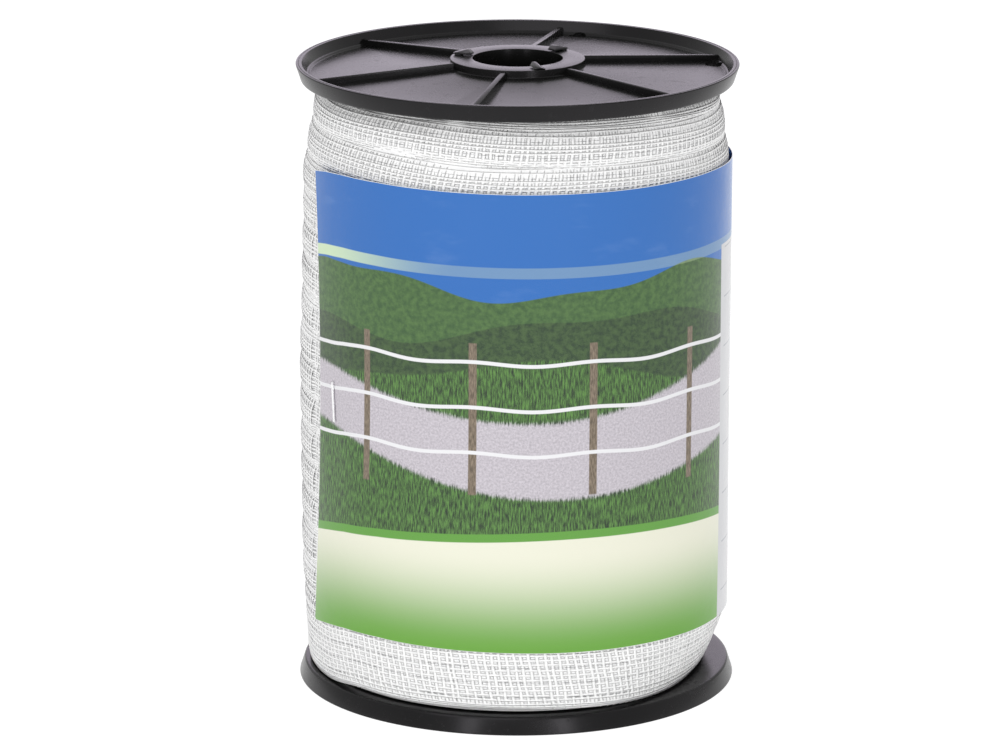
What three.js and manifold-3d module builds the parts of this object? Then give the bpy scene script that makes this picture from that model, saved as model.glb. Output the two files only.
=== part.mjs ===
// Electric fence tape: woven white polytape wound on a black plastic spool, with a
// stapled paper label. Millimetres, +Z up along the spool's axis. The origin is the
// centre of the rim plane that the spool stands on. Angles run anticlockwise from +X,
// seen from above.
import * as THREE from 'three';
import { mergeVertices } from 'three/addons/utils/BufferGeometryUtils.js';
import Module from 'manifold-3d';

// Spool, overall
const flangeDiameter = 136.5;
const flangeSpan = 195.2;

// Flange section, the same for both ends, measured inwards from the rim plane
const rimLand = 1.9;
const rimDraft = 1.75;
const ledgeDepth = 3.1;
const ledgeDraft = 1.95;
const filletWidth = 0.9;
const webDropAtRim = 3.7;
const webDropAtCollar = 1.25;
const webThickness = 1.6;

// Collar, bore and the plug that centres the top flange in the core tube
const boreDiameter = 27.8;
const collarDiameter = 41.4;
const topCollarStand = 1.1;
const plugDepth = 12;
const plugClearance = 0.3;

// Ribs on the outer face of each flange
const ribCount = 6;
const ribAngle = 18;
const ribThickness = 1.8;
const ribDropAtRim = 1.7;
const topRibStand = 0.7;
const footRibStand = 0;
const ribRimReach = 1.6;

// Holes in the top flange where the tape's end is passed out
const tapeHoleDiameter = 5.5;
const tapeHoleInset = 1.5;
const tapeHoleLag = 6;

// Core tube
const coreDiameter = 40;
const coreWall = 2.2;
const coreSeatGap = 0.3;

// Snap hooks: tongues of the core tube that hold the top flange down
const hookCount = 3;
const hookAngle = 44;
const hookWidth = 3.2;
const hookStem = 1.8;
const hookOverhang = 3.4;
const hookHeel = 0.6;
const hookHeadHeight = 1.5;
const hookRoot = 9;
const hookClearance = 0.3;

// Wound tape: one turned body, barrel-shaped, its overlapping turns a tape pitch apart
const windingCrownRadius = 65.7;
const windingTopRadius = 61.6;
const windingFootRadius = 60;
const topShoulderHeight = 29;
const footShoulderHeight = 11;
const turnPitch = 10;
const turnStep = 0.3;
const windingClearance = 0.3;
const layerRingPitch = 8;
const layerRingDepth = 0.5;

// Paper label
const labelLength = 297;
const labelHeight = 142;
const labelBottom = 26;
const labelThickness = 0.3;
const labelStartAngle = -157;
const labelSeat = 0.3;

// Staples through the label, one near each end
const stapleCrown = 12.7;
const stapleWireWidth = 0.7;
const stapleWireThickness = 0.5;
const stapleEndMargin = 11;
const stapleHeight = 96.3;
const stapleClearance = 0.3;

// Facets
const turnedSegments = 72;
const windingSegments = 48;
const labelSegments = 54;

const flangeRadius = flangeDiameter / 2;
const boreRadius = boreDiameter / 2;
const collarRadius = collarDiameter / 2;
const coreRadius = coreDiameter / 2;
const coreBoreRadius = coreRadius - coreWall;
const plugRadius = coreBoreRadius - plugClearance;
const innerFaceRadius = flangeRadius - rimDraft;
const ledgeRadius = flangeRadius - rimLand - ledgeDraft;
const webRadius = ledgeRadius - filletWidth;
const rimDepth = webDropAtRim + webThickness;

const wasm = await Module();
wasm.setup();

function solidFrom(geometry) {
  const bare = geometry.clone();
  bare.deleteAttribute('normal');
  bare.deleteAttribute('uv');
  const merged = mergeVertices(bare, 1e-4);
  const vertProperties = new Float32Array(merged.attributes.position.array);
  const triVerts = new Uint32Array(merged.index.array);
  return new wasm.Manifold(new wasm.Mesh({ numProp: 3, vertProperties, triVerts }));
}

function geometryFrom(solid) {
  const mesh = solid.getMesh();
  const geometry = new THREE.BufferGeometry();
  geometry.setAttribute('position', new THREE.BufferAttribute(new Float32Array(mesh.vertProperties), 3));
  geometry.setIndex(new THREE.BufferAttribute(new Uint32Array(mesh.triVerts), 1));
  geometry.computeVertexNormals();
  return geometry;
}

function joined(solids) {
  return solids.reduce((whole, piece) => whole.add(piece));
}

function cut(whole, tools) {
  return tools.reduce((rest, tool) => rest.subtract(tool), whole);
}

// A ring turned about Z from a closed section of [radius, height] points, given
// anticlockwise with the radius to the right and the height upwards.
function turnedGeometry(section, segments) {
  const points = [...section, section[0]].map(([r, z]) => new THREE.Vector2(r, z));
  const geometry = new THREE.LatheGeometry(points, segments);
  geometry.rotateX(Math.PI / 2);
  return geometry;
}

// A flat plate of the given thickness, standing on edge along +X and turned to an angle.
// Its outline is [radius, height] points.
function radialPlate(outline, thickness, angle) {
  const shape = new THREE.Shape(outline.map(([r, z]) => new THREE.Vector2(r, z)));
  const geometry = new THREE.ExtrudeGeometry(shape, { depth: thickness, bevelEnabled: false });
  geometry.translate(0, 0, -thickness / 2);
  geometry.rotateX(Math.PI / 2);
  geometry.rotateZ(THREE.MathUtils.degToRad(angle));
  return geometry;
}

function block(sizeX, sizeY, sizeZ, x, y, z) {
  return new THREE.BoxGeometry(sizeX, sizeY, sizeZ).translate(x, y, z);
}

function mirrored(section, side) {
  const placed = section.map(([r, t]) => [r, side * t]);
  return side > 0 ? placed : placed.reverse();
}

// Depth of the web's outer face below the rim plane
function webDrop(radius) {
  const share = (radius - collarRadius) / (webRadius - collarRadius);
  return THREE.MathUtils.lerp(webDropAtCollar, webDropAtRim, THREE.MathUtils.clamp(share, 0, 1));
}

// Depth of the flange's inner face, which the tape lies against
function innerFaceDrop(radius) {
  return webDrop(radius) + webThickness;
}

// Flange section: heights are outwards from the rim plane, so the web lies below zero
function flangeSection(collarStand, hubRadius, hubDepth) {
  return [
    [boreRadius, -hubDepth],
    [hubRadius, -hubDepth],
    [hubRadius, -innerFaceDrop(hubRadius)],
    [webRadius, -rimDepth],
    [innerFaceRadius, -rimDepth],
    [flangeRadius, 0],
    [flangeRadius - rimLand, 0],
    [ledgeRadius, -ledgeDepth],
    [webRadius, -webDropAtRim],
    [collarRadius, -webDropAtCollar],
    [collarRadius, collarStand],
    [boreRadius, collarStand],
  ];
}

function ribOutline(standAtCollar) {
  const start = collarRadius - ribThickness / 2;
  const end = webRadius + ribRimReach;
  const sink = webThickness / 2;
  return [
    [start, -webDropAtCollar - sink],
    [end, -webDropAtRim - sink],
    [end, -ribDropAtRim],
    [start, standAtCollar],
  ];
}

function ribSolids(side, standAtCollar) {
  const outline = mirrored(ribOutline(standAtCollar), side);
  const ribs = [];
  for (let i = 0; i < ribCount; i++) {
    ribs.push(solidFrom(radialPlate(outline, ribThickness, ribAngle + i * 360 / ribCount)));
  }
  return ribs;
}

function tapeHoleSolids() {
  const holes = [];
  const reach = webRadius - tapeHoleInset;
  for (let i = 0; i < ribCount; i++) {
    const angle = THREE.MathUtils.degToRad(ribAngle - tapeHoleLag + i * 360 / ribCount);
    const geometry = new THREE.CylinderGeometry(tapeHoleDiameter / 2, tapeHoleDiameter / 2, 4 * rimDepth, 16);
    geometry.rotateX(Math.PI / 2);
    geometry.translate(reach * Math.cos(angle), reach * Math.sin(angle), 0);
    holes.push(solidFrom(geometry));
  }
  return holes;
}

// The slots keep the hook's clearance on all four sides of its stem
function hookSlotSolids() {
  const inner = coreBoreRadius - hookClearance;
  const outer = coreBoreRadius + hookStem + hookClearance;
  const outline = [[inner, -rimDepth], [outer, -rimDepth], [outer, 2 * topCollarStand], [inner, 2 * topCollarStand]];
  const slots = [];
  for (let i = 0; i < hookCount; i++) {
    slots.push(solidFrom(radialPlate(outline, hookWidth + 2 * hookClearance, hookAngle + i * 360 / hookCount)));
  }
  return slots;
}

function hookSolids() {
  const seat = flangeSpan + topCollarStand + hookClearance;
  const top = seat + hookHeadHeight;
  const back = coreBoreRadius + hookStem;
  const tip = coreBoreRadius - hookOverhang;
  const outline = [
    [coreBoreRadius, flangeSpan - hookRoot],
    [back, flangeSpan - hookRoot],
    [back, seat],
    [back + hookHeel, seat],
    [back + hookHeel, seat + hookHeadHeight / 4],
    [tip + hookHeadHeight, top],
    [tip + hookHeadHeight / 2, top],
    [tip, seat + hookHeadHeight / 2],
    [tip, seat],
    [coreBoreRadius, seat],
  ];
  const hooks = [];
  for (let i = 0; i < hookCount; i++) {
    hooks.push(solidFrom(radialPlate(outline, hookWidth, hookAngle + i * 360 / hookCount)));
  }
  return hooks;
}

function topFlangeGeometry() {
  const disc = solidFrom(turnedGeometry(flangeSection(topCollarStand, plugRadius, plugDepth), turnedSegments));
  const ribbed = joined([disc, ...ribSolids(1, topRibStand)]);
  return geometryFrom(cut(ribbed, [...tapeHoleSolids(), ...hookSlotSolids()]));
}

// Core tube, moulded in one with the bottom flange and the three hooks
function spoolBodyGeometry() {
  const hubDepth = innerFaceDrop(coreRadius);
  const section = mirrored(flangeSection(0, coreRadius, hubDepth), -1);
  const disc = solidFrom(turnedGeometry(section, turnedSegments));
  const tubeTop = flangeSpan - innerFaceDrop(coreRadius) - coreSeatGap;
  const tube = solidFrom(turnedGeometry([
    [coreBoreRadius, hubDepth / 2],
    [coreRadius, hubDepth / 2],
    [coreRadius, tubeTop],
    [coreBoreRadius, tubeTop],
  ], turnedSegments));
  return geometryFrom(joined([disc, tube, ...ribSolids(-1, footRibStand), ...hookSolids()]));
}

// Barrel of the wound tape: full over the middle, falling away at both shoulders
function windingRadius(z, bottom, top) {
  const topShare = Math.max(0, 1 - (top - z) / topShoulderHeight);
  const footShare = Math.max(0, 1 - (z - bottom) / footShoulderHeight);
  const topFall = (windingCrownRadius - windingTopRadius) * topShare * topShare;
  const footFall = (windingCrownRadius - windingFootRadius) * footShare * footShare;
  return windingCrownRadius - topFall - footFall;
}

// Ring grooves that the edges of the layers leave on an end of the roll, from the bore
// outwards. Heights are the end's own, and inward is the way into the roll.
function layerRings(endHeight, inward, outerRadius) {
  const points = [];
  for (let r = coreRadius + layerRingPitch; r < outerRadius - layerRingPitch / 2; r += layerRingPitch) {
    points.push([r - layerRingPitch / 4, endHeight(r) + inward * layerRingDepth]);
    points.push([r, endHeight(r)]);
  }
  return points;
}

function windingGeometry() {
  const lowEnd = (r) => innerFaceDrop(r) + windingClearance;
  const highEnd = (r) => flangeSpan - innerFaceDrop(r) - windingClearance;
  const bore = coreRadius + windingClearance;
  const bottom = lowEnd(webRadius);
  const top = highEnd(webRadius);
  const section = [[bore, lowEnd(bore)], ...layerRings(lowEnd, 1, windingFootRadius)];
  section.push([windingFootRadius, bottom]);
  for (let z = bottom + turnPitch / 2; z < top - turnPitch / 2; z += turnPitch) {
    section.push([windingRadius(z, bottom, top), z]);
    section.push([windingRadius(z, bottom, top) - turnStep, z + turnPitch / 2]);
  }
  section.push([windingTopRadius, top]);
  section.push(...layerRings(highEnd, -1, windingTopRadius).reverse());
  section.push([bore, highEnd(bore)]);
  return turnedGeometry(section, windingSegments);
}

const labelRadius = windingCrownRadius + labelSeat;
const labelArc = THREE.MathUtils.radToDeg(labelLength / labelRadius);
const stapleSetback = THREE.MathUtils.radToDeg(stapleEndMargin / labelRadius);
const stapleAngles = {
  label_staple_front: labelStartAngle + stapleSetback,
  label_staple_back: labelStartAngle + labelArc - stapleSetback,
};

// Legs of a staple, standing along X through the label at its two ends
function stapleLegs(outerRadius, grow) {
  const legLength = outerRadius - labelRadius + 2 * grow;
  const middle = (outerRadius + labelRadius) / 2;
  const reach = (stapleCrown - stapleWireThickness) / 2;
  const width = stapleWireWidth + 2 * grow;
  const height = stapleWireThickness + 2 * grow;
  return [-1, 1].map((end) => block(legLength, width, height, middle, 0, stapleHeight + end * reach));
}

function labelGeometry() {
  const outline = [];
  const angleAt = (i) => THREE.MathUtils.degToRad(labelStartAngle + labelArc * i / labelSegments);
  for (let i = 0; i <= labelSegments; i++) {
    const outer = labelRadius + labelThickness;
    outline.push(new THREE.Vector2(outer * Math.cos(angleAt(i)), outer * Math.sin(angleAt(i))));
  }
  for (let i = labelSegments; i >= 0; i--) {
    outline.push(new THREE.Vector2(labelRadius * Math.cos(angleAt(i)), labelRadius * Math.sin(angleAt(i))));
  }
  const sheet = new THREE.ExtrudeGeometry(new THREE.Shape(outline), { depth: labelHeight, bevelEnabled: false });
  sheet.translate(0, 0, labelBottom);
  const legHoles = [];
  for (const angle of Object.values(stapleAngles)) {
    for (const leg of stapleLegs(labelRadius + labelThickness, stapleClearance)) {
      legHoles.push(solidFrom(leg.rotateZ(THREE.MathUtils.degToRad(angle))));
    }
  }
  return geometryFrom(cut(solidFrom(sheet), legHoles));
}

function stapleGeometry() {
  const seat = labelRadius + labelThickness + stapleClearance;
  const crown = block(stapleWireThickness, stapleWireWidth, stapleCrown,
    seat + stapleWireThickness / 2, 0, stapleHeight);
  const legs = stapleLegs(seat + stapleWireThickness / 2, 0);
  return geometryFrom(joined([crown, ...legs].map(solidFrom)));
}

const blackPlastic = new THREE.MeshStandardMaterial({ color: 0x2e2d30, roughness: 0.42, metalness: 0 });
const wovenTape = new THREE.MeshStandardMaterial({ color: 0xe4e3e0, roughness: 0.6, metalness: 0 });
const printedPaper = new THREE.MeshStandardMaterial({ color: 0x9fce7a, roughness: 0.5, metalness: 0 });
const stapleWire = new THREE.MeshStandardMaterial({ color: 0xb9bbbd, roughness: 0.3, metalness: 1 });

const fenceTape = new THREE.Group();

function addPiece(name, geometry, material, parent = fenceTape) {
  const mesh = new THREE.Mesh(geometry, material);
  mesh.name = name;
  parent.add(mesh);
  return mesh;
}

addPiece('spool_body', spoolBodyGeometry(), blackPlastic);
addPiece('top_flange', topFlangeGeometry(), blackPlastic).position.z = flangeSpan;
addPiece('tape_winding', windingGeometry(), wovenTape);
addPiece('paper_label', labelGeometry(), printedPaper);
for (const [name, angle] of Object.entries(stapleAngles)) {
  addPiece(name, stapleGeometry(), stapleWire).rotation.z = THREE.MathUtils.degToRad(angle);
}

export default fenceTape;
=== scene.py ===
"""Electric fence tape: a full roll of woven polytape on a black spool, with a paper label."""
import math

import bpy
import numpy as np
from mathutils import Matrix, Vector


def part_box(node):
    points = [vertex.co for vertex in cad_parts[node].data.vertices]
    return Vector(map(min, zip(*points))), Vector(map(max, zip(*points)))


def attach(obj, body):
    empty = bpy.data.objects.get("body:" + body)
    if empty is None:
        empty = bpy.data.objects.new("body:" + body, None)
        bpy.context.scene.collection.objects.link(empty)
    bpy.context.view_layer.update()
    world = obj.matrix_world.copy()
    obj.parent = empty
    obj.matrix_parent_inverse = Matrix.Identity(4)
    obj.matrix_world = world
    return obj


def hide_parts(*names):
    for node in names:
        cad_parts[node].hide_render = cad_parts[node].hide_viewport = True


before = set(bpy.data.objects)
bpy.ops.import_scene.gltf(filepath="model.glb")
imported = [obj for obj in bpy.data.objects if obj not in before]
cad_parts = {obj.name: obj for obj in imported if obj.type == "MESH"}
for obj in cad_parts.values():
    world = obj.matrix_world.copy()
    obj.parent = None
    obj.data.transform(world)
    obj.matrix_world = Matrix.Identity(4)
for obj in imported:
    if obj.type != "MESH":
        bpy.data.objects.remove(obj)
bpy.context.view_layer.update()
MM = 0.001

# The camera stands where the photograph was taken from, 14.5 degrees above the middle of
# the roll. The lens, distance and tilt come from the two flange rims in the picture.
IMAGE_SIZE = (1000, 750)
AXIS_PIXEL = (516.85, 368.91)
CAMERA_DISTANCE = 1.725
CAMERA_ELEVATION = math.radians(14.53)
CAMERA_ROLL = math.radians(0.134)
CAMERA_LENS = 199.4

_, flange_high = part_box("top_flange")
_, body_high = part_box("spool_body")
COLLAR_STAND = 1.1
FLANGE_RADIUS = body_high.x / MM
SPAN = flange_high.z / MM - COLLAR_STAND
MID_HEIGHT = SPAN / 2

bpy.ops.object.camera_add(location=(
    0, -CAMERA_DISTANCE * math.cos(CAMERA_ELEVATION),
    MID_HEIGHT * MM + CAMERA_DISTANCE * math.sin(CAMERA_ELEVATION)))
camera = bpy.context.active_object
camera.rotation_euler = (math.pi / 2 - CAMERA_ELEVATION, 0, 0)
camera.rotation_euler.rotate_axis("Z", CAMERA_ROLL)
camera.data.lens = CAMERA_LENS
camera.data.sensor_width = 36
camera.data.shift_x = (IMAGE_SIZE[0] / 2 - AXIS_PIXEL[0]) / IMAGE_SIZE[0]
camera.data.shift_y = (AXIS_PIXEL[1] - IMAGE_SIZE[1] / 2) / IMAGE_SIZE[0]
camera.data.clip_end = 20
bpy.context.scene.camera = camera
bpy.context.scene.view_settings.view_transform = "Standard"


# Material helpers. A Wire is one value in a material's node graph, and the sums made with
# it add the nodes.
class Wire:
    def __init__(self, tree, socket):
        self.tree = tree
        self.socket = socket

    def calc(self, operation, *others, clamp=False):
        node = self.tree.nodes.new("ShaderNodeMath")
        node.operation = operation
        node.use_clamp = clamp
        self.tree.links.new(self.socket, node.inputs[0])
        for i, other in enumerate(others):
            if isinstance(other, Wire):
                self.tree.links.new(other.socket, node.inputs[i + 1])
            else:
                node.inputs[i + 1].default_value = other
        return Wire(self.tree, node.outputs[0])

    def __add__(self, other):
        return self.calc("ADD", other)

    def __sub__(self, other):
        return self.calc("SUBTRACT", other)

    def __mul__(self, other):
        return self.calc("MULTIPLY", other)

    def between(self, low, high, start=0.0, end=1.0):
        """Runs smoothly from start to end as the value goes from low to high."""
        node = self.tree.nodes.new("ShaderNodeMapRange")
        node.interpolation_type = "SMOOTHSTEP"
        self.tree.links.new(self.socket, node.inputs["Value"])
        limits = {"From Min": low, "From Max": high, "To Min": start, "To Max": end}
        for name, value in limits.items():
            if isinstance(value, Wire):
                self.tree.links.new(value.socket, node.inputs[name])
            else:
                node.inputs[name].default_value = value
        return Wire(self.tree, node.outputs["Result"])

    def blend(self, low_colour, high_colour):
        """A colour that goes from the first to the second as the value goes from 0 to 1."""
        node = self.tree.nodes.new("ShaderNodeMix")
        node.data_type = "RGBA"
        self.tree.links.new(self.socket, node.inputs["Factor"])
        for slot, colour in ((6, low_colour), (7, high_colour)):
            if isinstance(colour, Wire):
                self.tree.links.new(colour.socket, node.inputs[slot])
            else:
                node.inputs[slot].default_value = (*colour, 1)
        return Wire(self.tree, node.outputs[2])


def new_material(name, roughness, metallic=0.0):
    """A new material, with its node tree and its shader."""
    material = bpy.data.materials.new(name)
    material.use_nodes = True
    tree = material.node_tree
    shader = tree.nodes["Principled BSDF"]
    shader.inputs["Roughness"].default_value = roughness
    shader.inputs["Metallic"].default_value = metallic
    return material, tree, shader


def coordinates(tree, kind="Object"):
    node = tree.nodes.new("ShaderNodeTexCoord")
    return Wire(tree, node.outputs[kind])


def split(where):
    node = where.tree.nodes.new("ShaderNodeSeparateXYZ")
    where.tree.links.new(where.socket, node.inputs[0])
    return [Wire(where.tree, node.outputs[i]) for i in range(3)]


def point(x, y, z):
    node = x.tree.nodes.new("ShaderNodeCombineXYZ")
    for i, value in enumerate((x, y, z)):
        if isinstance(value, Wire):
            x.tree.links.new(value.socket, node.inputs[i])
        else:
            node.inputs[i].default_value = value
    return Wire(x.tree, node.outputs[0])


def noise(where, scale, detail=2.0, rough=0.5):
    node = where.tree.nodes.new("ShaderNodeTexNoise")
    where.tree.links.new(where.socket, node.inputs["Vector"])
    node.inputs["Scale"].default_value = scale
    node.inputs["Detail"].default_value = detail
    node.inputs["Roughness"].default_value = rough
    return Wire(where.tree, node.outputs["Fac"])


def connect(value, shader, name):
    value.tree.links.new(value.socket, shader.inputs[name])


def add_bump(height, shader, distance, strength=1.0):
    node = height.tree.nodes.new("ShaderNodeBump")
    node.inputs["Strength"].default_value = strength
    node.inputs["Distance"].default_value = distance
    height.tree.links.new(height.socket, node.inputs["Height"])
    height.tree.links.new(node.outputs["Normal"], shader.inputs["Normal"])


# The stage: a plain white floor in a soft white room, lit by a large softbox in front, a
# smaller one behind and a tall strip light at each side.
FLOOR_SIZE = 12
FLOOR_GREY = 0.3
FLOOR_GLOW = 0.86
ROOM_GLOW = 0.64

bpy.ops.mesh.primitive_plane_add(size=FLOOR_SIZE, location=(0, 0, 0))
floor = bpy.context.active_object
floor.name = "floor"
floor_white, tree, shader = new_material("floor_white", roughness=0.9)
shader.inputs["Base Color"].default_value = (FLOOR_GREY, FLOOR_GREY, FLOOR_GREY, 1)
shader.inputs["Specular IOR Level"].default_value = 0.0
shader.inputs["Emission Color"].default_value = (1, 1, 1, 1)
shader.inputs["Emission Strength"].default_value = FLOOR_GLOW
floor.data.materials.append(floor_white)

world = bpy.data.worlds.new("white_room")
world.use_nodes = True
background = world.node_tree.nodes["Background"]
background.inputs["Color"].default_value = (1.0, 1.0, 1.0, 1)
background.inputs["Strength"].default_value = ROOM_GLOW
bpy.context.scene.world = world


def soft_light(name, power, width, height, place, aim, tint=(1.0, 1.0, 1.0)):
    bpy.ops.object.light_add(type="AREA", location=place)
    lamp = bpy.context.active_object
    lamp.name = name
    lamp.data.shape = "RECTANGLE"
    lamp.data.size = width
    lamp.data.size_y = height
    lamp.data.energy = power
    lamp.data.color = tint
    lamp.rotation_euler = (Vector(aim) - Vector(place)).to_track_quat("-Z", "Y").to_euler()


ROLL_MIDDLE = (0, 0, MID_HEIGHT * MM)
soft_light("key_softbox", 8.5, 1.6, 1.6, (-0.55, -1.15, 1.6), ROLL_MIDDLE)
soft_light("back_softbox", 3.0, 1.3, 1.0, (0.0, 1.8, 0.6), ROLL_MIDDLE, tint=(1.02, 0.87, 1.12))
soft_light("left_strip", 2.6, 0.2, 0.9, (-0.69, -1.55, 0.47), ROLL_MIDDLE)
soft_light("right_strip", 3.2, 0.2, 0.9, (0.69, -1.55, 0.47), ROLL_MIDDLE)


# Black polypropylene of the spool: satin, a fine mould grain, slightly uneven webs and
# a few dusty rubs that catch the light. The painted highlight on the hooks' tops is set by heights
# below them.
TOP_HIGHLIGHT_START = 1.3
TOP_HIGHLIGHT_FULL = 0.6


def black_plastic():
    material, tree, shader = new_material("black_plastic", roughness=0.4)
    where = coordinates(tree)
    patches = noise(where, 28, 3)
    grain = noise(where, 2600, 2)
    rubs = noise(where, 340, 4, 0.7).between(0.56, 0.74)
    base = patches.between(0.35, 0.7).blend((0.0040, 0.0042, 0.0038), (0.0065, 0.0065, 0.0062))
    dust_and_highlight = (rubs * 0.25).blend(base, (0.026, 0.025, 0.027))
    # Painted highlight: the tips of the hooks are painted pale, as light falling on their tops.
    _, _, height = split(where)
    painted_top_highlight = height.between(body_high.z - TOP_HIGHLIGHT_START * MM, body_high.z - TOP_HIGHLIGHT_FULL * MM)
    dust_and_highlight = (painted_top_highlight * (patches * 0.6 + 0.4)).blend(dust_and_highlight, (0.120, 0.112, 0.124))
    connect(dust_and_highlight, shader, "Base Color")
    connect(patches * 0.14 + grain * 0.06 + rubs * 0.08 + 0.15, shader, "Roughness")
    add_bump(noise(where, 70, 2) * 0.06 + grain * 0.006, shader, 0.0006)
    shader.inputs["Specular IOR Level"].default_value = 0.26
    shader.inputs["Specular Tint"].default_value = (1.0, 0.96, 1.03, 1)
    return material


plastic = black_plastic()


def only(piece):
    """Selects one object and makes it the active one."""
    bpy.ops.object.select_all(action="DESELECT")
    piece.select_set(True)
    bpy.context.view_layer.objects.active = piece


def apply_modifier(piece, kind, **settings):
    only(piece)
    modifier = piece.modifiers.new(kind.lower(), kind)
    for name, value in settings.items():
        setattr(modifier, name, value)
    bpy.ops.object.modifier_apply(modifier=modifier.name)


def boolean(piece, tool, operation):
    apply_modifier(piece, "BOOLEAN", operation=operation, object=tool, solver="EXACT")
    bpy.data.objects.remove(tool)


CORNER_STEPS = 4


def rounded(corners):
    """An outline of (radius, height, corner radius) points in mm, its corners made arcs."""
    outline = []
    for i, (x, y, bend) in enumerate(corners):
        corner = Vector((x, y))
        if not bend:
            outline.append(corner)
            continue
        back = (Vector(corners[i - 1][:2]) - corner).normalized()
        ahead = (Vector(corners[(i + 1) % len(corners)][:2]) - corner).normalized()
        half = math.acos(max(-1, min(1, back.dot(ahead)))) / 2
        centre = corner + (back + ahead).normalized() * (bend / math.sin(half))
        start = corner + back * (bend / math.tan(half)) - centre
        end = corner + ahead * (bend / math.tan(half)) - centre
        turn = math.atan2(start.x * end.y - start.y * end.x, start.dot(end))
        for step in range(CORNER_STEPS + 1):
            spun = Matrix.Rotation(turn * step / CORNER_STEPS, 2) @ start
            outline.append(centre + spun)
    return outline


def drawn(name, outline, across=0.0):
    """A closed outline in mm, drawn from one vertex and standing in the plane y = across."""
    bpy.ops.object.select_all(action="DESELECT")
    bpy.ops.mesh.primitive_plane_add(size=MM)
    piece = bpy.context.active_object
    piece.name = name
    bpy.ops.object.mode_set(mode="EDIT")
    bpy.ops.mesh.select_mode(type="VERT")
    bpy.ops.mesh.merge(type="CENTER")
    at = Vector((0, 0))
    for i, (x, y) in enumerate([*outline, outline[0]]):
        step = ((x - at.x) * MM, 0 if i else across * MM, (y - at.y) * MM)
        if i:
            bpy.ops.mesh.extrude_region_move(TRANSFORM_OT_translate={"value": step})
        else:
            bpy.ops.transform.translate(value=step)
        at = Vector((x, y))
    bpy.ops.mesh.select_all(action="SELECT")
    bpy.ops.mesh.remove_doubles(threshold=1e-6)
    return piece


def turned(name, outline, steps):
    """A closed outline of (radius, height) points in mm, spun round the axis."""
    piece = drawn(name, outline)
    bpy.ops.mesh.spin(steps=steps, angle=math.tau, center=(0, 0, 0), axis=(0, 0, 1))
    bpy.ops.mesh.select_all(action="SELECT")
    bpy.ops.mesh.remove_doubles(threshold=1e-6)
    bpy.ops.mesh.normals_make_consistent(inside=False)
    bpy.ops.object.mode_set(mode="OBJECT")
    return piece


def plate(name, outline, thickness, angle, bevel=0.0):
    """A flat plate standing on edge along +X, from an outline in mm, turned to an angle."""
    piece = drawn(name, outline, across=-thickness / 2)
    bpy.ops.mesh.edge_face_add()
    bpy.ops.mesh.extrude_region_move(TRANSFORM_OT_translate={"value": (0, thickness * MM, 0)})
    bpy.ops.mesh.select_all(action="SELECT")
    bpy.ops.mesh.normals_make_consistent(inside=False)
    bpy.ops.object.mode_set(mode="OBJECT")
    piece.data.transform(Matrix.Rotation(math.radians(angle), 4, "Z"))
    if bevel:
        apply_modifier(piece, "BEVEL", width=bevel * MM, segments=2, limit_method="ANGLE")
    return piece


def finish_piece(piece, material, slot, *nodes, smooth=35):
    """Shades a finished piece, gives it its material and puts it in place of its nodes."""
    only(piece)
    if smooth:
        bpy.ops.object.shade_smooth_by_angle(angle=math.radians(smooth))
    if not piece.data.materials:
        piece.data.materials.append(material)
    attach(piece, "root")
    if nodes:
        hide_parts(*nodes)


# Flanges: two ribbed discs of the same section, moulded in black plastic. The rim leans
# out towards its land, which has a fine ring line, and a small ledge runs inside it.
TURN_STEPS = 144
RIM_LAND = 1.9
RIM_DRAFT = 1.75
LEDGE_RADIUS = FLANGE_RADIUS - RIM_LAND - 1.95
LEDGE_DEPTH = 3.1
WEB_RADIUS = LEDGE_RADIUS - 0.9
WEB_DEPTH = 3.7
WEB_DEPTH_AT_COLLAR = 1.25
WEB_THICKNESS = 1.6
COLLAR_RADIUS = 20.7
BORE_RADIUS = 13.9
RIB_COUNT = 6
RIB_ANGLE = 18
RIB_THICKNESS = 1.8
RIB_COLLAR_REACH = 0.9
RIB_RIM_REACH = 2.0
RIB_SINK = 0.8
RIB_END_DEPTH = 1.75
RING_LINE = FLANGE_RADIUS - 0.95
RING_LINE_WIDTH = 0.16


def inner_face(radius):
    """Depth below the rim plane of the face that the tape lies against."""
    share = (radius - COLLAR_RADIUS) / (WEB_RADIUS - COLLAR_RADIUS)
    share = min(max(share, 0), 1)
    return WEB_DEPTH_AT_COLLAR + (WEB_DEPTH - WEB_DEPTH_AT_COLLAR) * share + WEB_THICKNESS


def flange_outline(collar_stand, hub_radius, hub_depth):
    rim_depth = WEB_DEPTH + WEB_THICKNESS
    return rounded([
        (BORE_RADIUS, -hub_depth, 0.3),
        (hub_radius, -hub_depth, 0.3),
        (hub_radius, -inner_face(hub_radius), 0),
        (WEB_RADIUS, -rim_depth, 0),
        (FLANGE_RADIUS - RIM_DRAFT, -rim_depth, 1.0),
        (FLANGE_RADIUS, 0, 0.3),
        (RING_LINE + RING_LINE_WIDTH, 0, 0.08),
        (RING_LINE, -RING_LINE_WIDTH, 0),
        (RING_LINE - RING_LINE_WIDTH, 0, 0.08),
        (FLANGE_RADIUS - RIM_LAND, 0, 0.25),
        (LEDGE_RADIUS + 0.35, -LEDGE_DEPTH + 0.1, 0.2),
        (LEDGE_RADIUS - 0.1, -LEDGE_DEPTH - 0.1, 0.15),
        (WEB_RADIUS + 0.25, -WEB_DEPTH, 0.5),
        (COLLAR_RADIUS, -WEB_DEPTH_AT_COLLAR, 0.3),
        (COLLAR_RADIUS, collar_stand, 0.15),
        (BORE_RADIUS, collar_stand, 0.12),
    ])


def rib_outline(stand_at_collar):
    start = COLLAR_RADIUS - RIB_COLLAR_REACH
    end = WEB_RADIUS + RIB_RIM_REACH
    return [
        (start, -WEB_DEPTH_AT_COLLAR - RIB_SINK),
        (end, -WEB_DEPTH - RIB_SINK),
        (end, -RIB_END_DEPTH),
        (start, stand_at_collar),
    ]


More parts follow.
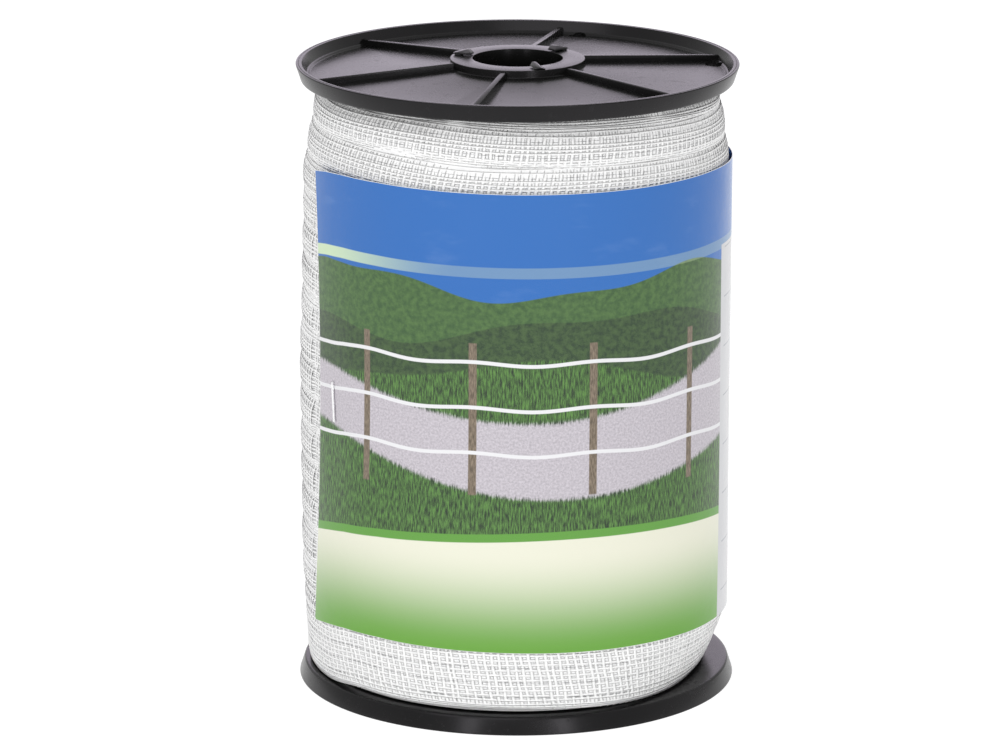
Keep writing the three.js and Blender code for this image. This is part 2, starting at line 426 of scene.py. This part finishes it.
def add_ribs(disc, stand_at_collar, side):
    """Six ribs, joined into the disc; side is -1 on a flange that faces down."""
    outline = [(x, side * y) for x, y in rib_outline(stand_at_collar)]
    for i in range(RIB_COUNT):
        rib = plate("rib", outline, RIB_THICKNESS, RIB_ANGLE + i * 360 / RIB_COUNT, bevel=0.3)
        boolean(disc, rib, "UNION")


# The top flange is a separate moulding with a plug that goes into the core tube. It has
# a hole beside each rib for the tape's end, and three slots for the core's snap hooks.
PLUG_RADIUS = 17.5
PLUG_DEPTH = 12
TAPE_HOLE_RADIUS = 2.75
TAPE_HOLE_REACH = WEB_RADIUS - 1.5
TAPE_HOLE_LAG = 6
HOOK_ANGLES = (44, 164, 290.5)
HOOK_WIDTH = 3.2
CORE_RADIUS = 20.0
CORE_BORE = 17.8
HOOK_BACK = 19.6
HOOK_GAP = 0.3
SLOT_LOW = -8
SLOT_HIGH = 3

top_outline = flange_outline(COLLAR_STAND, PLUG_RADIUS, PLUG_DEPTH)
top_flange = turned("spool_top_flange", top_outline, TURN_STEPS)
add_ribs(top_flange, 0.7, side=1)
for i in range(RIB_COUNT):
    angle = math.radians(RIB_ANGLE - TAPE_HOLE_LAG + i * 360 / RIB_COUNT)
    reach = TAPE_HOLE_REACH * MM
    bpy.ops.mesh.primitive_cylinder_add(
        vertices=24, radius=TAPE_HOLE_RADIUS * MM, depth=0.03,
        location=(reach * math.cos(angle), reach * math.sin(angle), 0))
    boolean(top_flange, bpy.context.active_object, "DIFFERENCE")
slot_outline = [
    (CORE_BORE - HOOK_GAP, SLOT_LOW), (HOOK_BACK + HOOK_GAP, SLOT_LOW),
    (HOOK_BACK + HOOK_GAP, SLOT_HIGH), (CORE_BORE - HOOK_GAP, SLOT_HIGH)]
for angle in HOOK_ANGLES:
    slot = plate("hook_slot", slot_outline, HOOK_WIDTH + 2 * HOOK_GAP, angle)
    boolean(top_flange, slot, "DIFFERENCE")
top_flange.data.transform(Matrix.Translation((0, 0, SPAN * MM)))
finish_piece(top_flange, plastic, "black_plastic", "top_flange")


# The spool body: bottom flange, core tube and three snap hooks in one moulding. The
# hooks stand up through the top flange's slots and lean over its collar.
HOOK_SEAT = SPAN + COLLAR_STAND + HOOK_GAP
HOOK_TOP = body_high.z / MM
HOOK_FOOT = SPAN - 9
HOOK_HEEL = HOOK_BACK + 0.6
HOOK_RIDGE = 16.1
HOOK_NOSE = 15.3
HOOK_TIP = 14.4
TUBE_FOOT = 2.4
TUBE_STEPS = 96

foot_outline = [
    Vector((x, -y)) for x, y in flange_outline(0, CORE_RADIUS, inner_face(CORE_RADIUS))]
spool_body = turned("spool_core_and_foot", foot_outline, TURN_STEPS)
add_ribs(spool_body, 0, side=-1)
tube_top = SPAN - inner_face(CORE_RADIUS) - 0.3
tube = turned("core_tube", rounded([
    (CORE_BORE, TUBE_FOOT, 0), (CORE_RADIUS, TUBE_FOOT, 0),
    (CORE_RADIUS, tube_top, 0.3), (CORE_BORE, tube_top, 0.3)]), TUBE_STEPS)
boolean(spool_body, tube, "UNION")
hook_outline = [
    (CORE_BORE, HOOK_FOOT), (HOOK_BACK, HOOK_FOOT), (HOOK_BACK, HOOK_SEAT),
    (HOOK_HEEL, HOOK_SEAT), (HOOK_HEEL, HOOK_SEAT + 0.4), (HOOK_RIDGE, HOOK_TOP),
    (HOOK_NOSE, HOOK_TOP - 0.1), (HOOK_TIP, HOOK_SEAT + 0.5), (HOOK_TIP, HOOK_SEAT),
    (CORE_BORE, HOOK_SEAT)]
for angle, narrowing, ridge in zip(HOOK_ANGLES, (0.8, 0.8, 0.25), (0, 0.2, -0.5)):
    hook = plate("hook", hook_outline, HOOK_WIDTH, 0)
    for vertex in hook.data.vertices:
        if vertex.co.z > (HOOK_SEAT + 0.3) * MM:
            vertex.co.y = narrowing * vertex.co.y + ridge * MM
    apply_modifier(hook, "TRIANGULATE")
    apply_modifier(hook, "BEVEL", width=0.1 * MM, segments=2, limit_method="ANGLE")
    hook.data.transform(Matrix.Rotation(math.radians(angle), 4, "Z"))
    boolean(spool_body, hook, "UNION")
finish_piece(spool_body, plastic, "black_plastic", "spool_body")


# The wound tape. Its turns lie in a helix, each half over the one below it, so about ten
# millimetres of each turn show. The roll bulges where the paper doesn't hold it in.
PITCH = 10.55
TOP_EDGE = 175.6
LAST_TURN = 16
LAST_WIDTH = 20.2
LABEL_START = -157.0
LABEL_ARC = 257.8
LABEL_LOW = 26.0
LABEL_HIGH = 168.0
TAPE_LOW = inner_face(WEB_RADIUS) + 0.5
TAPE_HIGH = SPAN - inner_face(WEB_RADIUS) - 0.4
CROWN = 65.75
LABEL_RADIUS = 66.12
DROP_AZIMUTHS = (-71, -67, -61, -53, -40, -25, 0, 25, 45, 65, 90, 120, 191)
DROP_LOW = (-3.4, -2.6, -1.7, -0.7, -0.1, -0.15, -0.5, -1.0, -1.3, -1.9, -2.9, -3.5, -3.0)
DROP_HIGH = (-2.1, -1.5, -0.4, 0.25, 0.45, 0.3, 0.1, -0.1, -0.2, -0.45, -1.3, -1.7, -1.0)


def smooth(low, high, value):
    share = np.clip((value - low) / (high - low), 0, 1)
    return share * share * (3 - 2 * share)


def bare_share(angle):
    """0 under the label, up to 1 in the gap between its two ends. Angles in radians."""
    gap_start = math.radians(LABEL_START + LABEL_ARC)
    gap = math.tau - math.radians(LABEL_ARC)
    along = np.mod(angle - gap_start, math.tau) / gap
    return np.where(along < 1, np.sqrt(np.sin(np.pi * np.clip(along, 0, 1))), 0)


def azimuth_of(angle):
    """Degrees round from the front, -180 to 180, of an angle in radians."""
    return np.degrees(np.mod(angle + math.pi / 2 + math.pi, math.tau) - math.pi)


def foot_radius(angle):
    """The lowest turn stands out over the flange on the left and tucks in on the right."""
    azimuth = azimuth_of(angle)
    return 65.1 - 6.4 * smooth(20, 75, azimuth) * (1 - smooth(100, 160, azimuth))


def foot_edge(angle):
    """Height of the tape's lowest edge, which rides up a little across the front."""
    azimuth = azimuth_of(angle)
    return 6.1 + 1.6 * smooth(-64, -46, azimuth) * (1 - smooth(0, 50, azimuth))


def label_drop(angle, up):
    """The sheet's ends hang lower than its middle, at its lower edge most."""
    azimuth = np.mod(np.degrees(angle) + 190, 360) - 100
    low = np.interp(azimuth, DROP_AZIMUTHS, DROP_LOW)
    high = np.interp(azimuth, DROP_AZIMUTHS, DROP_HIGH)
    return low + (high - low) * up


def covered(angle, z):
    """1 where the sheet presses on the tape, 0 on the bare tape."""
    half = LABEL_ARC / 2
    aside = np.abs(np.mod(np.degrees(angle) - LABEL_START - half + 180, 360) - 180)
    low = LABEL_LOW + label_drop(angle, 0)
    high = LABEL_HIGH + label_drop(angle, 1)
    inside = 1 - smooth(half + 3, half + 6, aside)
    return inside * smooth(low - 2, low, z) * (1 - smooth(high, high + 2, z))


def roll_radius(angle, z):
    """Radius of the roll under its outer turns, in mm."""
    top_fall = 4.4 * np.clip((z - 160) / 29, 0, 1) ** 1.15
    top_fall = top_fall + 1.8 * np.clip((z - 184) / 5, 0, 1) ** 1.5
    foot_fall = (CROWN - foot_radius(angle)) * np.clip((25 - z) / 19, 0, 1)
    belly = 1.75 * np.clip(1 - ((z - 82) / 68) ** 2, 0, 1)
    wander = 0.12 * np.sin(3 * angle + z / 9) + 0.08 * np.sin(7 * angle - z / 5)
    return CROWN - 0.45 - top_fall - foot_fall + belly * bare_share(angle) + wander


def lift(v, width=PITCH):
    """How far a turn bulges off the roll, v mm above its lower edge."""
    share = np.abs(2 * np.clip(v, 0, width) / width - 1)
    return 0.78 * (1 - share ** (0.24 * width)) - 0.2 * np.clip(v - width, 0, 2)


def held_in(angle, z, radius, room):
    """The radius, kept below the sheet by some room where the sheet holds the tape in."""
    return np.minimum(radius, LABEL_RADIUS - room + 3 * (1 - covered(angle, z)))


def turn_edge(turn, angle):
    """Height of a turn's lower edge. Turns count from -1 at the top down to LAST_TURN."""
    if turn == LAST_TURN:
        return foot_edge(angle)
    wound = turn + azimuth_of(angle) / 360
    sway = 0.35 * np.sin(2 * angle + wound * 1.7) + 0.2 * np.sin(5 * angle + wound)
    return TOP_EDGE - PITCH * wound + sway


def shown_turn(angle, z):
    """How high above its turn's lower edge a point of the roll's side lies."""
    return np.mod(z - TOP_EDGE + PITCH * azimuth_of(angle) / 360, PITCH)


# The inner layers show through the open weave, as a paler ground behind the outer turns.
UNDER_STEPS = 240
UNDER_ROWS = 170
UNDER_GAP = 0.07
UNDER_ROOM = 0.34
FOOT_TUCK = 3.0


def layered_yarn():
    """White woven layers seen through the outer one, a little uneven in shade."""
    material, tree, shader = new_material("layered_yarn", roughness=0.6)
    where = coordinates(tree)
    broad = noise(where, 160, 3).between(0.3, 0.7)
    fine = noise(where, 1100, 2).between(0.3, 0.7)
    shade = broad * 0.6 + fine * 0.4
    connect(shade.blend((0.86, 0.86, 0.865), (0.94, 0.94, 0.94)), shader, "Base Color")
    connect(noise(where, 700, 2) * 0.2 + 0.5, shader, "Roughness")
    add_bump(noise(where, 900, 2), shader, 0.00004)
    return material


heights = [
    *np.linspace(TAPE_LOW, TAPE_LOW + 2.4, 10),
    *np.linspace(TAPE_LOW + 3, TAPE_HIGH, UNDER_ROWS)]
under_outline = [(CORE_RADIUS + 0.3, inner_face(CORE_RADIUS) + 0.4)]
under_outline += [(CROWN, z) for z in heights]
under_outline += [(CORE_RADIUS + 0.3, SPAN - inner_face(CORE_RADIUS) - 0.4)]
roll_core = turned("tape_inner_layers", under_outline, UNDER_STEPS)
places = np.array([vertex.co for vertex in roll_core.data.vertices])
angles = np.arctan2(places[:, 1], places[:, 0])
levels = places[:, 2] / MM
tuck = FOOT_TUCK * (1 - smooth(foot_edge(angles), foot_edge(angles) + 0.7, levels))
above_foot = levels - foot_edge(angles)
bulge = np.where(
    above_foot < LAST_WIDTH,
    lift(above_foot, LAST_WIDTH), lift(shown_turn(angles, levels)))
radii = roll_radius(angles, levels) + bulge - UNDER_GAP - tuck
radii = held_in(angles, levels, radii, UNDER_ROOM) * MM
outer = np.hypot(places[:, 0], places[:, 1]) > (CORE_RADIUS + 5) * MM
places[outer, 0] = (radii * np.cos(angles))[outer]
places[outer, 1] = (radii * np.sin(angles))[outer]
roll_core.data.vertices.foreach_set("co", places.ravel())
roll_core.data.update()
finish_piece(roll_core, layered_yarn(), "woven_tape", "tape_winding", smooth=60)


# Outer turns: an open plain weave of white polyethylene yarns, 20 mm wide, with a thin
# steel wire about every five millimetres. Each yarn is a thin closed thread that goes
# over and under the ones it crosses.
WEFT_COUNT = 178
WEFT_WIDTH = 1.4
WARP_WIDTH = 0.95
WIRE_WIDTH = 0.17
WIRE_HEIGHT = 0.08
YARN_HEIGHT = 0.05
WEAVE_DEPTH = 0.015
WIRE_OFFSET = 1.3 * WEAVE_DEPTH
TURN_ROOM = 0.26
LEAN_MIDDLE = 5
WARPS = [0.25, 0.8, 1.4, 2.1, 4.3, 5.5, 6.7, 9.1, 10.3, 11.5]
WIRES = [3.35, 7.95]
LAST_WARPS = [
    0.2, 0.7, 1.4, 2.9, 4.3, 5.8, 7.3, 9.2, 10.7, 12.2, 14.0, 15.5, 17.0, 18.5, 19.3, 19.9]
LAST_WIRES = [3.6, 8.3, 13.1, 17.8]
generator = np.random.default_rng(7)


def weave_point(turn, angle, v, offset):
    """Place in metres of a yarn's centre on a turn, offset mm outwards."""
    last = turn == LAST_TURN
    low = TAPE_LOW if last else foot_edge(angle) + LAST_WIDTH - 0.4
    z = np.clip(turn_edge(turn, angle) + v, low, TAPE_HIGH)
    bulge = lift(v, LAST_WIDTH if last else PITCH)
    radius = held_in(angle, z, roll_radius(angle, z) + bulge, TURN_ROOM) + offset
    return np.stack([radius * np.cos(angle), radius * np.sin(angle), z], -1) * MM


def threads_mesh(lines, width, height):
    """Vertices and faces of three-sided closed threads along lines of (count, steps, 3)."""
    count, steps, _ = lines.shape
    along = np.gradient(lines, axis=1)
    along /= np.linalg.norm(along, axis=2, keepdims=True) + 1e-12
    out = lines * (1, 1, 0)
    out /= np.linalg.norm(out, axis=2, keepdims=True) + 1e-12
    side = np.cross(along, out)
    side /= np.linalg.norm(side, axis=2, keepdims=True) + 1e-12
    half = side * (width / 2 * MM)
    ring = np.stack([lines - half, lines + out * (height * MM), lines + half], 2)
    base = np.arange(count)[:, None] * steps * 3 + np.arange(steps - 1)[None, :] * 3
    quads = []
    for a, b in ((0, 1), (1, 2), (2, 0)):
        quads.append(np.stack([base + a, base + b, base + b + 3, base + a + 3], -1).reshape(-1, 4))
    first = np.arange(count) * steps * 3
    last = first + (steps - 1) * 3
    caps = [np.stack([first + 2, first + 1, first], -1), np.stack([last, last + 1, last + 2], -1)]
    return ring.reshape(-1, 3), np.concatenate(quads), np.concatenate(caps)


def weft_lines(turn, start, end, lean, warps):
    """Yarns across the tape, between two angles in radians."""
    pitch = math.tau / WEFT_COUNT
    numbers = np.arange(math.ceil(start / pitch), math.floor(end / pitch) + 1)
    jitter = generator.normal(0, 0.10, len(numbers)) * pitch
    rows = np.array([-0.3, *np.sort(np.concatenate([warps, np.add(warps[:-1], warps[1:]) / 2]))])
    over = np.zeros(len(rows))
    over[1::2] = np.where(np.arange(len(warps)) % 2, 1, -1)
    side = np.where(numbers % 2, 1, -1)[:, None]
    leaning = lean * (rows - LEAN_MIDDLE)[None, :] / CROWN
    angle = numbers[:, None] * pitch + jitter[:, None] + leaning
    angle = angle + 0.0018 * np.sin(rows[None, :] * 0.7 + numbers[:, None] * 0.9)
    offset = WEAVE_DEPTH * over[None, :] * side
    return weave_point(turn, angle, rows[None, :] + 0 * angle, offset)


def warp_lines(turn, start, end, rows, lean, depth=WEAVE_DEPTH):
    """Yarns along the tape; on wefts of odd number they pass on the other side."""
    pitch = math.tau / WEFT_COUNT
    first = math.ceil(start / pitch)
    last = math.floor(end / pitch)
    halves = np.arange(first * 2, last * 2 + 1)
    rows = np.asarray(rows, float)
    number = halves / 2
    over = np.where(halves % 2, 0, np.where((halves // 2) % 2, -1, 1))
    side = np.where(np.arange(len(rows)) % 2, 1, -1)[:, None]
    angle = number[None, :] * pitch + lean * (rows - LEAN_MIDDLE)[:, None] / CROWN
    wander = 0.10 * np.sin(number[None, :] * 0.31 + rows[:, None] * 3 + turn)
    return weave_point(turn, angle, rows[:, None] + wander, depth * over[None, :] * side)


def white_yarn():
    """Bright polyethylene yarn: satin, a little uneven from thread to thread."""
    material, tree, shader = new_material("white_yarn", roughness=0.42)
    where = coordinates(tree)
    tone = noise(where, 420, 2).between(0.3, 0.7)
    connect(tone.blend((0.90, 0.90, 0.90), (0.96, 0.958, 0.955)), shader, "Base Color")
    connect(noise(where, 1500, 2) * 0.2 + 0.34, shader, "Roughness")
    add_bump(noise(where, 5200, 2), shader, 0.00005)
    return material


def steel_wire():
    """Thin stainless wire, dull against the white yarns."""
    material, tree, shader = new_material("steel_wire", roughness=0.4, metallic=1.0)
    tone = noise(coordinates(tree), 330, 2).between(0.38, 0.62)
    connect(tone.blend((0.30, 0.30, 0.31), (0.85, 0.85, 0.85)), shader, "Base Color")
    return material


yarn = white_yarn()
wire = steel_wire()


def woven_piece(name, turns):
    """The woven turns of one zone of the roll: (turn, start, end), angles in degrees."""
    vertices, faces, materials = [], [], []
    count = 0
    for turn, start, end in turns:
        start, end = math.radians(start), math.radians(end)
        last = turn == LAST_TURN
        lean = -0.18 if last else 0.13 + 0.08 * math.sin(turn * 2.3)
        warps, wires = (LAST_WARPS, LAST_WIRES) if last else (WARPS, WIRES)
        parts = (
            (weft_lines(turn, start, end, lean, warps), WEFT_WIDTH, YARN_HEIGHT, 0),
            (warp_lines(turn, start, end, warps, lean), WARP_WIDTH, YARN_HEIGHT, 0),
            (warp_lines(turn, start, end, wires, lean, WIRE_OFFSET), WIRE_WIDTH, WIRE_HEIGHT, 1),
        )
        for lines, width, height, slot in parts:
            points, quads, caps = threads_mesh(lines, width, height)
            vertices.append(points)
            faces += (quads + count).tolist() + (caps + count).tolist()
            materials += [slot] * (len(quads) + len(caps))
            count += len(points)
    mesh = bpy.data.meshes.new(name)
    mesh.from_pydata(np.concatenate(vertices).tolist(), [], faces)
    mesh.materials.append(yarn)
    mesh.materials.append(wire)
    mesh.polygons.foreach_set("material_index", materials)
    mesh.polygons.foreach_set("use_smooth", [True] * len(mesh.polygons))
    mesh.update()
    piece = bpy.data.objects.new(name, mesh)
    bpy.context.scene.collection.objects.link(piece)
    finish_piece(piece, yarn, "woven_tape", smooth=0)


GAP_OVERLAP = 5
GAP_START = LABEL_START + LABEL_ARC - GAP_OVERLAP
GAP_END = LABEL_START + 360 + GAP_OVERLAP
woven_piece("tape_turns_top", [(turn, -270, 90) for turn in (-1, 0, 1)])
woven_piece("tape_turns_foot", [(LAST_TURN, -270, 90)])
woven_piece("tape_turns_back", [(turn, GAP_START, GAP_END) for turn in range(2, LAST_TURN)])


# The label: one printed sheet of coated paper, wrapped round the roll and stapled. It is
# pressed in at the staple and stands off the tape at its top edge.
LABEL_LENGTH = 297.0
LABEL_HEIGHT = LABEL_HIGH - LABEL_LOW
PICTURE_END = 158.6
LABEL_COLUMNS = 160
LABEL_ROWS = 40


def label_radius(angle, z):
    """The paper follows the roll, with soft waves near its edges and a dip at the staple."""
    share = (z - LABEL_LOW) / LABEL_HEIGHT
    edge = np.abs(2 * share - 1) ** 6
    start = math.radians(LABEL_START)
    from_start = np.mod(angle - start, math.tau)
    dip = 0.35 * np.exp(-((from_start - 0.16) / 0.10) ** 2) * np.exp(-((z - 96) / 26) ** 2)
    wave = 0.10 * edge * np.sin(5 * angle + 2 * share) + 0.05 * np.sin(9 * angle + z / 17)
    return LABEL_RADIUS + wave - dip


bpy.ops.object.select_all(action="DESELECT")
bpy.ops.mesh.primitive_grid_add(x_subdivisions=LABEL_COLUMNS, y_subdivisions=LABEL_ROWS, size=1)
label = bpy.context.active_object
label.name = "label_sheet"
for vertex in label.data.vertices:
    along = vertex.co.x + 0.5
    up = vertex.co.y + 0.5
    ragged = 1.4 + 3.0 * (up - 0.5) - 15.6 * (up - 0.5) ** 2
    angle = math.radians(LABEL_START + LABEL_ARC * along + ragged * (1 - along) ** 6)
    height = LABEL_LOW + LABEL_HEIGHT * up + float(label_drop(angle, up))
    radius = float(label_radius(angle, height))
    vertex.co = (radius * MM * math.cos(angle), radius * MM * math.sin(angle), height * MM)
only(label)
bpy.ops.object.mode_set(mode="EDIT")
bpy.ops.mesh.select_all(action="SELECT")
bpy.ops.mesh.normals_make_consistent(inside=False)
bpy.ops.object.mode_set(mode="OBJECT")
middle_face = label.data.polygons[len(label.data.polygons) // 2]
if middle_face.normal.dot(Vector((*middle_face.center.xy, 0))) < 0:
    label.data.flip_normals()
apply_modifier(label, "SOLIDIFY", thickness=0.13 * MM, offset=1.0)


def printed_paper():
    """Generic farmland print: sky, hills, a fence line, a pale track and a data strip."""
    material, tree, shader = new_material("printed_paper", roughness=0.38)
    u, v, _ = split(coordinates(tree, "UV"))
    along = u * LABEL_LENGTH
    up = v * LABEL_HEIGHT
    place = point(along, up, 0.0)

    def wave(length, height, shift):
        return (along * (math.tau / length) + shift).calc("SINE") * height

    # Sky: deep blue at the top left, paler to the right and at the horizon.
    depth = (up * 0.010 - along * 0.0032 + 0.02).calc("MULTIPLY", 1.0, clamp=True)
    sky = depth.between(0.1, 1.0).blend((0.030, 0.185, 0.56), (0.012, 0.135, 0.47))
    cloud = noise(point(along, up * 2.6, 0.0), 0.045, 4, 0.55).between(0.56, 0.74)
    sky = (cloud * 0.05).blend(sky, (0.50, 0.64, 0.86))
    # Hills: three ridges, each darker and nearer than the one behind.
    far_ridge = wave(118, 3.2, 0.6) + wave(47, 1.1, 2.0) + 113.0
    middle_ridge = wave(150, 4.5, 3.4) + wave(61, 1.4, 0.4) + 100.0
    near_ridge = wave(190, 6.0, 5.2) + wave(83, 1.6, 1.0) + 84.0
    grass = noise(point(along * 2.4, up * 0.35, 0.0), 0.9, 5, 0.65)
    speck = noise(place, 0.55, 4, 0.6)
    far_hill = speck.between(0.3, 0.7).blend((0.030, 0.090, 0.022), (0.075, 0.165, 0.040))
    middle_hill = speck.between(0.3, 0.7).blend((0.012, 0.040, 0.012), (0.050, 0.105, 0.028))
    near_hill = grass.between(0.35, 0.68).blend((0.006, 0.022, 0.006), (0.110, 0.270, 0.050))
    picture = up.between(far_ridge - 0.4, far_ridge).blend(far_hill, sky)
    picture = up.between(middle_ridge - 0.5, middle_ridge).blend(middle_hill, picture)
    # A pale gravel track winds across the picture.
    track_middle = wave(230, 9.0, 2.4) + 69.0
    track_half = along * 0.035 + 9.0
    from_track = (up - track_middle).calc("ABSOLUTE")
    gravel = noise(place, 1.4, 4, 0.7).between(0.3, 0.7)
    gravel = gravel.blend((0.42, 0.39, 0.43), (0.62, 0.58, 0.63))
    edge_noise = (grass - 0.5) * 5.0
    on_track = from_track.between(track_half + edge_noise - 1.0, track_half + edge_noise + 0.6)
    ground = up.between(near_ridge - 0.5, near_ridge + 0.5).blend(near_hill, picture)
    picture = on_track.blend(gravel, ground)
    # Fence posts with three thin tapes between them.
    post_step = 37.0
    in_span = (along + 29.0).calc("MODULO", post_step)
    post = (in_span - post_step / 2).calc("ABSOLUTE").between(1.1, 1.4, 1.0, 0.0)
    post = post * up.between(49.0, 49.6) * up.between(96.0, 96.5, 1.0, 0.0)
    bark = noise(point(along * 6.0, up * 0.8, 0.0), 0.6, 3).between(0.3, 0.7)
    picture = post.blend(picture, bark.blend((0.10, 0.075, 0.05), (0.27, 0.21, 0.15)))
    sag = (in_span * (math.tau / post_step)).calc("COSINE") * 0.5
    for height in (62.0, 76.0, 90.0):
        strand = (up - height + sag).calc("ABSOLUTE").between(0.45, 0.7, 1.0, 0.0)
        picture = strand.blend(picture, (0.80, 0.80, 0.82))
    # Lower panel: a green line, then pale deepening to green at the bottom edge.
    panel_edge = wave(262, 3.4, 5.4) + 35.0
    shade = (up * -1.0 + 36.0) * (1 / 38.0)
    panel = shade.between(0.10, 0.95).blend((0.80, 0.80, 0.66), (0.125, 0.350, 0.032))
    panel = up.between(panel_edge - 2.8, panel_edge - 2.5).blend(panel, (0.11, 0.33, 0.04))
    picture = up.between(panel_edge - 0.2, panel_edge + 0.1).blend(panel, picture)
    # Upper edge line of the sky panel, straight, in two tints.
    band = (up - 118.0).calc("ABSOLUTE").between(1.5, 1.8, 1.0, 0.0)
    picture = (band * along.between(2.0, 60.0, 0.9, 0.2)).blend(picture, (0.66, 0.82, 0.50))
    # Data strip: white paper with thin grey rules, round the right side and the back.
    rule = (up.calc("MODULO", 15.5) - 7.75).calc("ABSOLUTE").between(0.12, 0.3, 1.0, 0.0)
    rule = rule * along.between(162.0, 162.4) * along.between(292.0, 292.4, 1.0, 0.0)
    strip = rule.blend((0.60, 0.605, 0.625), (0.36, 0.38, 0.42))
    on_strip = along.between(PICTURE_END - 0.15, PICTURE_END + 0.15)
    on_strip = on_strip * up.between(117.4, 117.7, 1.0, 0.0)
    printed = on_strip.blend(picture, strip)
    # A hair of unprinted paper at the sheet's cut edges.
    margin = up.between(0.08, 0.16) * up.between(LABEL_HEIGHT - 0.16, LABEL_HEIGHT - 0.08, 1.0, 0.0)
    margin = margin * along.between(0.08, 0.16)
    dots = noise(place, 7.0, 2).between(0.3, 0.7) * 0.06
    inked = dots.blend(margin.blend((0.86, 0.87, 0.86), printed), (0.9, 0.9, 0.9))
    connect(inked, shader, "Base Color")
    connect(noise(place, 0.12, 3) * 0.10 + 0.15, shader, "Roughness")
    shader.inputs["Specular IOR Level"].default_value = 0.24
    add_bump(noise(place, 0.06, 3) * 0.6 + noise(place, 3.0, 2) * 0.03, shader, 0.0005)
    return material


finish_piece(label, printed_paper(), "printed_paper", "paper_label", smooth=50)


# Staples: one galvanised wire staple near each end of the sheet, its crown upright.
STAPLE_CROWN = 12.7
STAPLE_MIDDLE = 96.3
STAPLE_SETBACK = 11.0
STAPLE_WIDTH = 0.75
STAPLE_DEPTH = 0.5


def bright_staple():
    """Bright galvanised wire, slightly uneven."""
    material, tree, shader = new_material("staple_wire", roughness=0.3, metallic=1.0)
    tone = noise(coordinates(tree), 700, 3).between(0.3, 0.7)
    connect(tone.blend((0.84, 0.84, 0.85), (0.95, 0.95, 0.95)), shader, "Base Color")
    connect(noise(coordinates(tree), 2400, 2) * 0.2 + 0.2, shader, "Roughness")
    return material


staple_steel = bright_staple()


def add_staple(name, node, angle, tilt):
    """A crown on the paper with its two legs turned in through it."""
    half = STAPLE_CROWN / 2
    depth = STAPLE_DEPTH
    outline = rounded([
        (0.2, -half, 0), (0.2 + 0.5 * depth, -half, 0), (0.35 + depth, -half, 0.4),
        (0.35 + depth, half, 0.4), (0.2, half, 0),
        (0.2, half - depth, 0), (0.35, half - depth, 0.1),
        (0.35, -half + depth, 0.1), (0.2, -half + depth, 0)])
    piece = plate(name, outline, STAPLE_WIDTH, 0, bevel=0.14)
    radius = float(label_radius(math.radians(angle), STAPLE_MIDDLE))
    place = Matrix.Rotation(math.radians(angle), 4, "Z")
    place = place @ Matrix.Translation((radius * MM, 0, STAPLE_MIDDLE * MM))
    piece.data.transform(place @ Matrix.Rotation(math.radians(tilt), 4, "X"))
    finish_piece(piece, staple_steel, "staple_steel", node)


setback = math.degrees(STAPLE_SETBACK / LABEL_RADIUS)
add_staple("staple_near_start", "label_staple_front", LABEL_START + setback, 5)
add_staple("staple_near_end", "label_staple_back", LABEL_START + LABEL_ARC - setback, -2)
